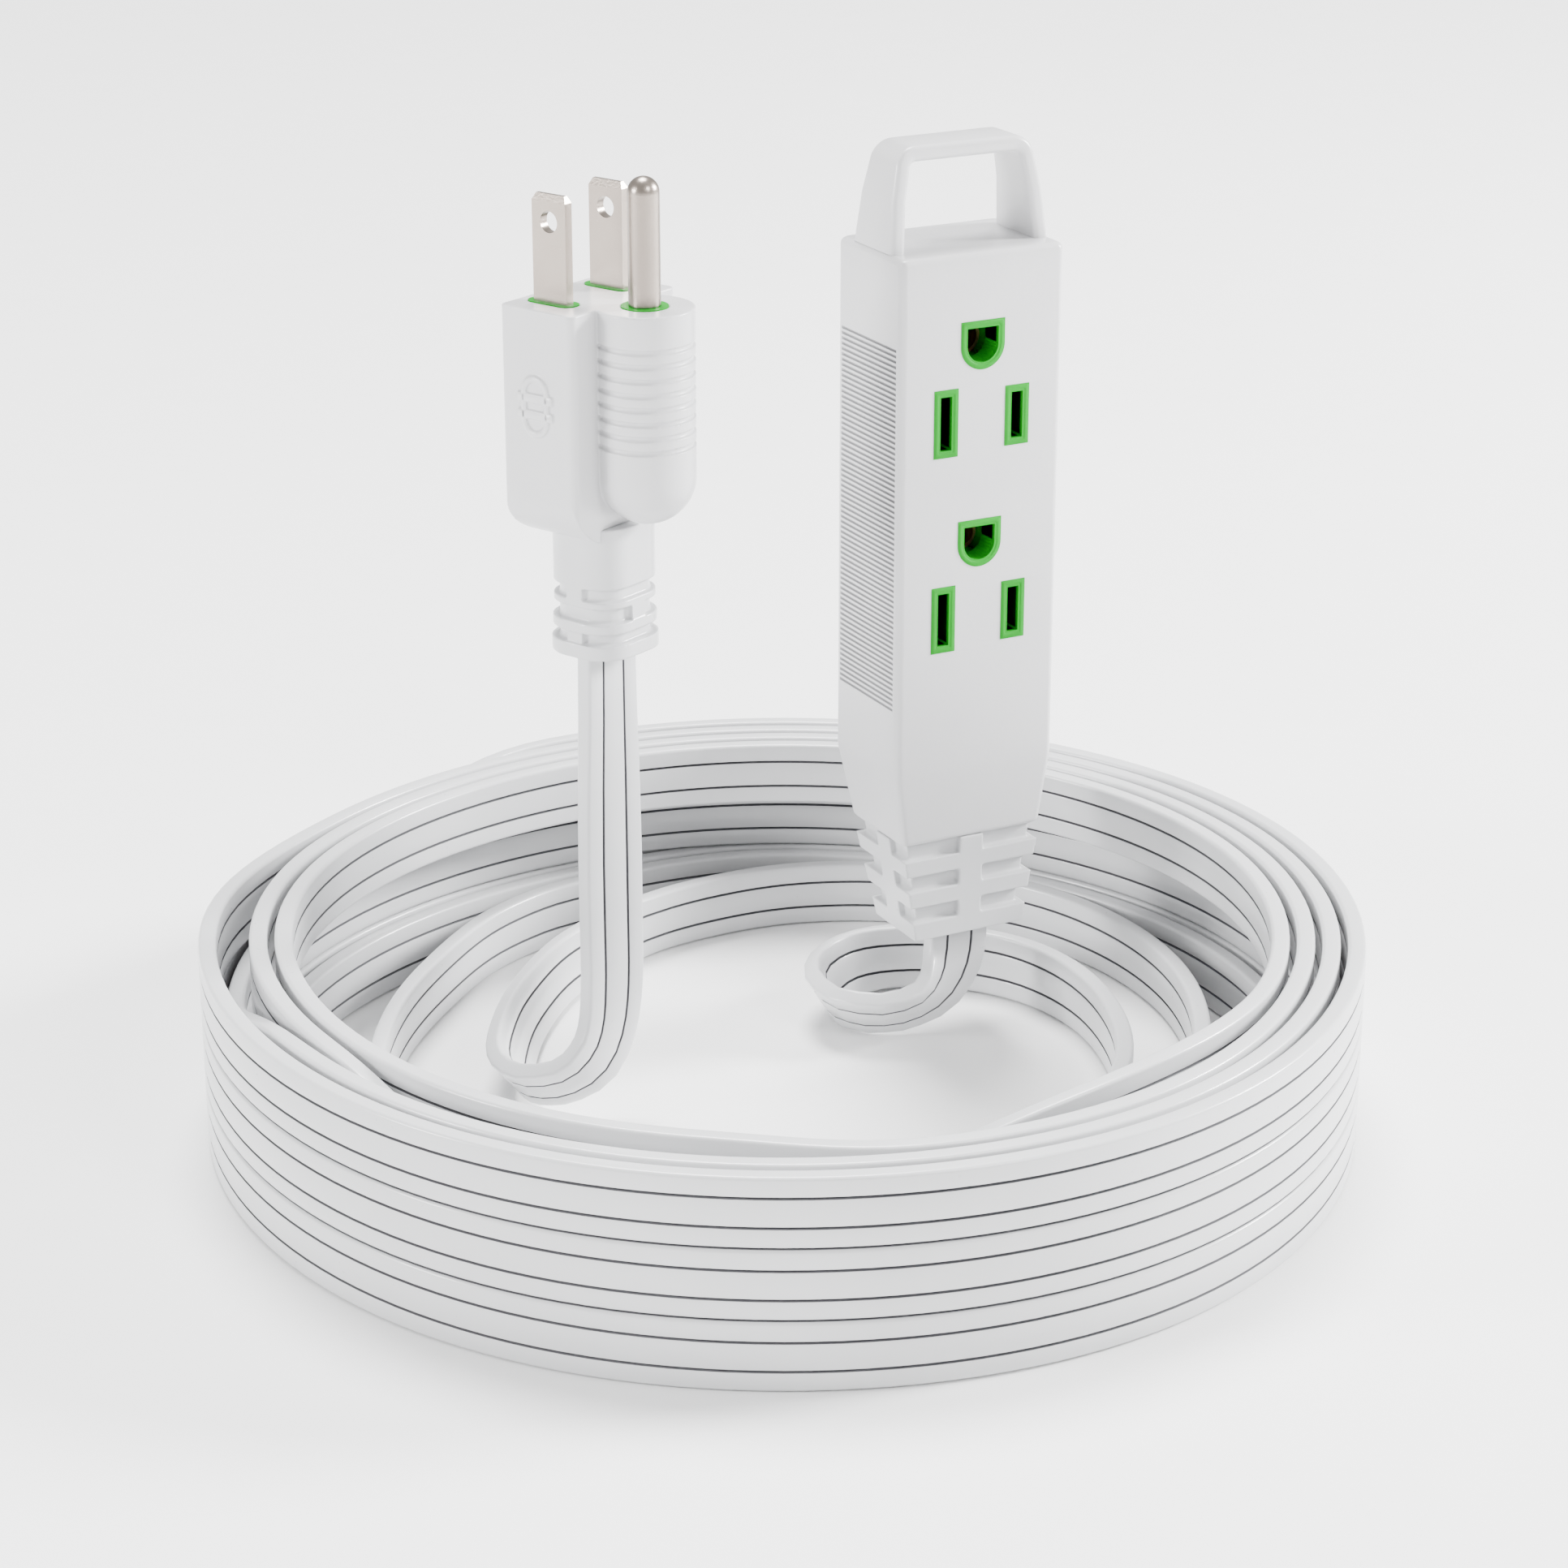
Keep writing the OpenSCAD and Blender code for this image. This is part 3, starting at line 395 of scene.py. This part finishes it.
# the stretches meet without a repeated or crowded point
CROWDED = 0.9
line = evened([line[0]] + [b for a, b in zip(line, line[1:]) if (b[0] - a[0]).length > CROWDED])


def cord_section():
    """The outline of the flat cord: three flat ribs, and a narrow V groove between each pair."""
    hw, ht, r = CORD_W / 2, CORD_T / 2, 0.6
    crown, rib_middle = ht + 0.03, 3.9
    top = []
    for a in QUARTER:
        top.append((hw - r + r * math.cos(math.radians(a)), ht - r + r * math.sin(math.radians(a))))
    top.append((rib_middle, crown))
    lip, foot = GROOVE_LIP, 0.12
    for x, y in ((lip + 0.15, ht), (lip, ht - 0.06), (foot, ht - GROOVE_DEEP),
                 (-foot, ht - GROOVE_DEEP), (-lip, ht - 0.06), (-lip - 0.15, ht)):
        top.append((RIB_GROOVE + x, y))
    top.append((0.0, crown))
    left = [(-x, y) for x, y in reversed(top[:-1])]
    half = top + left
    return half + [(x, -y) for x, y in reversed(half)]


SECTION = cord_section()
rings, path = [], []
for i, (p, up) in enumerate(line):
    ahead = line[min(i + 1, len(line) - 1)][0] - line[max(i - 1, 0)][0]
    along = ahead.normalized()
    up = (up - along * up.dot(along)).normalized()
    out = along.cross(up)
    rings.append([tuple(p + up * x + out * y) for x, y in SECTION])
    path.append(tuple(p * MM))
cord = piece("flat_cord", loft(rings), WHITE_PVC, "cord_jacket", 34, "cord_coil", "plug_lead", "outlet_lead")
# the grooves' walls and the narrow joints between the rows of the coil's outer wall get a duller material whose
# dark colour is painted shade, standing in for the shadow in these creases
cord.data.materials.append(CORD_CREASE_PAINTED_SHADE)
GROOVE_FACES = (7, 8, 9, 14, 15, 16, 32, 33, 34, 39, 40, 41)    # places round the cord's outline
EDGE_FACES = (0, 23, 24, 25, 48, 49)
SEAM = (80, 165)                         # degrees between which the outer turns change rows
JOINT_Z = [(lower + upper) / 2 for lower, upper in zip(ROW_Z, ROW_Z[1:])]
for face in list(cord.data.polygons)[:(len(rings) - 1) * len(SECTION)]:
    k, z = face.index % len(SECTION), face.center.z / MM
    outer_wall = math.hypot(face.center.x, face.center.y) / MM > column(1) - 2
    seam = SEAM[0] < math.degrees(math.atan2(face.center.y, face.center.x)) < SEAM[1]
    joint = outer_wall and not seam and min(abs(z - height) for height in JOINT_Z) < 0.35
    if k in GROOVE_FACES or (k in EDGE_FACES and joint):
        face.material_index = 1


# ---------------------------------------------------------------- moulded shells with softened edges
def soft_copy(node, name, mat, slot, voxel, rounds, keep):
    """A finely meshed copy of a CAD shell whose edges are rounded like a moulding's."""
    source = frame["nodes"][node]
    mesh = source.data.copy()
    mesh.transform(source.matrix_world)
    mesh.name = name
    obj = bpy.data.objects.new(name, mesh)
    bpy.context.scene.collection.objects.link(obj)
    bm = bmesh.new()
    bm.from_mesh(mesh)
    bmesh.ops.remove_doubles(bm, verts=bm.verts, dist=0.000002)
    bm.to_mesh(mesh)
    bm.free()
    remesh = obj.modifiers.new("remesh", "REMESH")
    remesh.mode = "VOXEL"
    remesh.voxel_size = voxel * MM
    relax = obj.modifiers.new("relax", "SMOOTH")
    relax.factor = 0.5
    relax.iterations = rounds
    thin = obj.modifiers.new("thin", "DECIMATE")
    thin.ratio = keep
    apply_modifiers(obj)
    obj.data.polygons.foreach_set("use_smooth", [True] * len(obj.data.polygons))
    dress(obj, mat, slot, node)
    return obj


plug_shell = soft_copy("plug_body", "plug_shell", WHITE_SHELL, "white_shell", 0.16, 3, 0.2)
plug_sleeve = soft_copy("plug_strain_relief", "plug_relief_sleeve", WHITE_PVC, "cord_jacket", 0.18, 3, 0.5)


def handle_loop():
    """The handle's bar, bent over a trapezium with round corners; it gets shallower towards the top."""
    foot, head, top, bend = HANDLE_FOOT, HANDLE_HEAD, HANDLE_TOP, HANDLE_BEND
    lean = math.atan2(foot - head, top)
    outer, steps = [], 8
    outer.append(((-foot, 0.0), (-1.0, 0.0)))
    outer.append(((-foot + 0.5 * (foot - head), top * 0.5), (-math.cos(lean), math.sin(lean))))
    cx, cz = -head + bend * 1.06, top - bend
    for i in range(steps + 1):
        a = math.pi - lean - (math.pi / 2 - lean) * i / steps
        outer.append(((cx + bend * math.cos(a), cz + bend * math.sin(a)), (math.cos(a), math.sin(a))))
    outer.append(((0.0, top), (0.0, 1.0)))
    outer += [((-x, z), (-nx, nz)) for (x, z), (nx, nz) in reversed(outer[:-1])]
    rings = []
    for (x, z), (nx, nz) in outer:
        depth = HANDLE_DEEP + (HANDLE_THIN - HANDLE_DEEP) * max(0.0, min(1.0, z / top))
        ring = []
        for across, deep in rounded_rect(HANDLE_T, depth, 0.85, 4):
            inward = HANDLE_T / 2 - across
            ring.append(block(x - nx * inward, HANDLE_Y + deep, TOP + z - nz * inward - 0.02))
        rings.append(ring)
    return loft(rings)


piece("handle_loop", handle_loop(), WHITE_SHELL, "white_shell", 50, "carry_handle")
soft_copy("outlet_strain_relief", "outlet_relief_sleeve", WHITE_PVC, "cord_jacket", 0.18, 4, 0.5)


# ---------------------------------------------------------------- raised grip marks on the plug's flat sides
def grip_mark(side):
    """An oval ring and two short bars, standing a little proud of the plug's flat side."""
    parts = []
    base, shoulder, crest = 11.7, 12.23, 12.35
    profile = ((0.0, base), (0.08, shoulder), (0.25, crest), (0.6, crest), (0.77, shoulder), (0.85, base))
    vc, zc, hw, hh = 1.0, 118.0, 2.6, 4.6          # the mark's middle, half its width and half its height
    bar_w, bar_h, bar_off = 6.6, 1.25, 1.25
    rings, around = [], 40
    for i in range(around):
        a = 2 * math.pi * i / around
        cv, cz = math.cos(a), math.sin(a)
        zoff = (hh - hw) * (1 if cz > 0 else -1)
        ring = []
        for off, u in profile:
            ring.append(plug(side * u, vc + (hw - off) * cv, zc + zoff + (hw - off) * cz))
        rings.append(ring)
    parts.append(loft(rings, closed=True))
    for dz in (-bar_off, bar_off):
        bar = []
        for inset, u in ((0.0, base), (0.0, shoulder), (0.14, crest)):
            outline = rounded_rect(bar_w - 2 * inset, bar_h - 2 * inset, 0.3, 3)
            bar.append([plug(side * u, vc + x, zc + dz + z) for x, z in outline])
        parts.append(loft(bar))
    return join_lists(parts)


marks = piece("plug_grip_marks", join_lists([grip_mark(-1), grip_mark(1)]), WHITE_SHELL, "white_shell", 40)


# ---------------------------------------------------------------- the block's shell
def block_ring(z, w, y0, y1, r, groove=0.0):
    """One level of the block: a rounded rectangle whose side walls step in by the groove's depth."""
    cy, d = (y0 + y1) / 2, y1 - y0
    pts = rounded_rect(w, d, r, 6)
    ring = []
    n = len(pts)
    for i, (x, y) in enumerate(pts):
        ring.append(block(x, cy + y, z))
        nxt = pts[(i + 1) % n]
        if abs(nxt[0] - x) < 1e-6 and abs(nxt[1] - y) > 1:
            side = 1 if x > 0 else -1
            up = 1 if nxt[1] > y else -1
            for t, g in ((0.25, 0.0), (0.7, 1.0)):
                ring.append(block(x - side * groove * g, cy + y + up * t, z))
            for t, g in ((0.7, 1.0), (0.25, 0.0)):
                ring.append(block(x - side * groove * g, cy + nxt[1] - up * t, z))
    return ring


def block_levels():
    levels = []

    def at(z, inset=0.0, groove=0.0):
        t = min(1.0, max(0.0, (z - TAPER) / (BODY - TAPER)))
        w = FOOT_W + (BLOCK_W - FOOT_W) * t
        y0, y1 = FOOT_FRONT * (1 - t), FOOT_BACK + (BLOCK_D - FOOT_BACK) * t
        levels.append(block_ring(z, w - 2 * inset, y0 + inset, y1 - inset, 1.2, groove))

    for a in QUARTER:
        at(TAPER + FOOT_ROUND * (1 - math.cos(math.radians(a))), FOOT_ROUND * (1 - math.sin(math.radians(a))))
    for z in (TAPER + 1.2, TAPER + 4, TAPER + 8, BODY - 1.2, BODY - 0.4, BODY + 0.4, BODY + 1.2, BODY + 6):
        at(z)
    for i in range(SIDE_GROOVES):
        z = SIDE_Z + i * SIDE_PITCH
        at(z - 0.24)
        at(z - 0.12, 0, SIDE_DEEP)
        at(z + 0.12, 0, SIDE_DEEP)
        at(z + 0.24)
    at(TOP - 6)
    for a in QUARTER:
        at(TOP - 1.0 + math.sin(math.radians(a)), 1.0 - math.cos(math.radians(a)))
    return levels


def prism_y(name, outline, y0, y1):
    """A cutter: an outline in X and Z drawn along Y."""
    obj = new_object(name, *loft([[block(x, y, z) for x, z in outline] for y in (y0, y1)]), smooth=False)
    fix_normals(obj)
    return obj


def slot_outline(x, z, h, g):
    return [(x + px, z + pz) for px, pz in rounded_rect(SLOT_W + 2 * g, h + 2 * g, 0.25, 3)]


def ground_outline(z, g):
    """Round below and square above, with small chamfers."""
    r = GROUND_R + g
    pts = [(r * math.cos(math.radians(a)), z + r * math.sin(math.radians(a))) for a in range(180, 361, 10)]
    return pts + [(r, z + r - 0.3), (r - 0.3, z + r), (0.3 - r, z + r), (-r, z + r - 0.3)]


def openings(g):
    """The outlines of all six openings, each grown by g."""
    out = []
    for z in OUTLETS:
        out.append(slot_outline(-SLOT_X, z, TALL_SLOT, g))
        out.append(slot_outline(SLOT_X, z, SHORT_SLOT, g))
        out.append(ground_outline(z + GROUND_UP, g))
    return out


shell = new_object("block_shell", *loft(block_levels()), smooth=False)
fix_normals(shell)
cutters = [prism_y(f"hole{i}", outline, -1, 2.2) for i, outline in enumerate(openings(RIM))]
hollow = new_object("hollow", *loft([[block(x, 10.5 + y, z) for x, y in rounded_rect(25.4, 17.4, 0.5, 2)]
                                     for z in (58.0, 128.0)]), smooth=False)
fix_normals(hollow)
cutters.append(hollow)
cut(shell, cutters)
smooth_by_angle(shell, 28)
dress(shell, WHITE_SHELL, "white_shell", "outlet_body")
# the walls of the side grooves get a darker colour: painted shade standing in for their shadow
shell.data.materials.append(SIDE_GROOVE_PAINTED_SHADE)
for face in shell.data.polygons:
    x, y, z = abs(face.center.x / MM - BX), face.center.y / MM - BY, face.center.z / MM
    in_groove = BLOCK_W / 2 - 0.4 < x < BLOCK_W / 2 - 0.08 and 1.3 < y < BLOCK_D - 1.3
    face.material_index = 1 if in_groove and SIDE_Z - 0.3 < z < SIDE_Z + SIDE_GROOVES * SIDE_PITCH - 0.3 else 0


# ---------------------------------------------------------------- green rims round the openings
def rim_profile(outer, inner):
    """A raised rim: outside wall, rounded crown, bevel down into the hole, and the hole's wall."""
    def between(t):
        return [((a[0] + (b[0] - a[0]) * t), (a[1] + (b[1] - a[1]) * t)) for a, b in zip(outer, inner)]

    # each row: how far across from the outer to the inner outline, and how deep behind the block's face
    rows = [(0.0, 2.0), (0.0, 0.06), (0.06, -0.06), (0.2, -0.16), (0.55, -0.16), (0.75, -0.08),
            (1.0, 0.55), (1.0, 4.0)]
    return [[block(x, y, z) for x, z in between(t)] for t, y in rows]


rims = [loft(rim_profile(outer, inner), caps=False) for outer, inner in zip(openings(RIM), openings(0.0))]
piece("opening_rims", join_lists(rims), GREEN, "green_carrier", 50)

# ---------------------------------------------------------------- stage, light and camera
HALF_FLOOR = 3000
corners = [(x * HALF_FLOOR, y * HALF_FLOOR, 0) for x, y in ((-1, -1), (1, -1), (1, 1), (-1, 1))]
floor = new_object("floor", corners, [(0, 1, 2, 3)])
floor.location.z = -0.0001
floor.data.materials.append(FLOOR)

world = bpy.data.worlds.new("studio")
bpy.context.scene.world = world
world.use_nodes = True
world.node_tree.nodes["Background"].inputs["Color"].default_value = (1, 1, 1, 1)
world.node_tree.nodes["Background"].inputs["Strength"].default_value = 0.8


def area_light(name, at, size, power):
    """A round soft box aimed at the coil."""
    data = bpy.data.lights.new(name, "AREA")
    data.shape = "DISK"
    data.size = size
    data.energy = power
    obj = bpy.data.objects.new(name, data)
    obj.location = at
    obj.rotation_euler = (Vector((0, 0, 0.05)) - Vector(at)).to_track_quat("-Z", "Y").to_euler()
    bpy.context.scene.collection.objects.link(obj)


area_light("right_box", (1.15, -0.30, 0.60), 0.35, 54.0)
area_light("left_box", (-1.25, 0.15, 0.45), 0.35, 20.0)
area_light("front_box", (0.30, -1.30, 1.00), 0.5, 13.0)

sky_data = bpy.data.lights.new("ceiling", "SUN")
sky_data.energy = 7.0
sky_data.angle = math.radians(25)
sky = bpy.data.objects.new("ceiling", sky_data)
sky.rotation_euler = Vector((-0.15, -0.45, -1.25)).to_track_quat("-Z", "Y").to_euler()
bpy.context.scene.collection.objects.link(sky)

cam_data = bpy.data.cameras.new("camera")
cam = bpy.data.objects.new("camera", cam_data)
bpy.context.scene.collection.objects.link(cam)
cam_data.sensor_width = 36.0
cam_data.lens = 88.4
cam_data.clip_start = 0.01
cam.location = (-0.2557, -0.4911, 0.2673)
cam.rotation_euler = (Vector((0, 0, 0.0548)) - cam.location).to_track_quat("-Z", "Y").to_euler()
bpy.context.scene.camera = cam
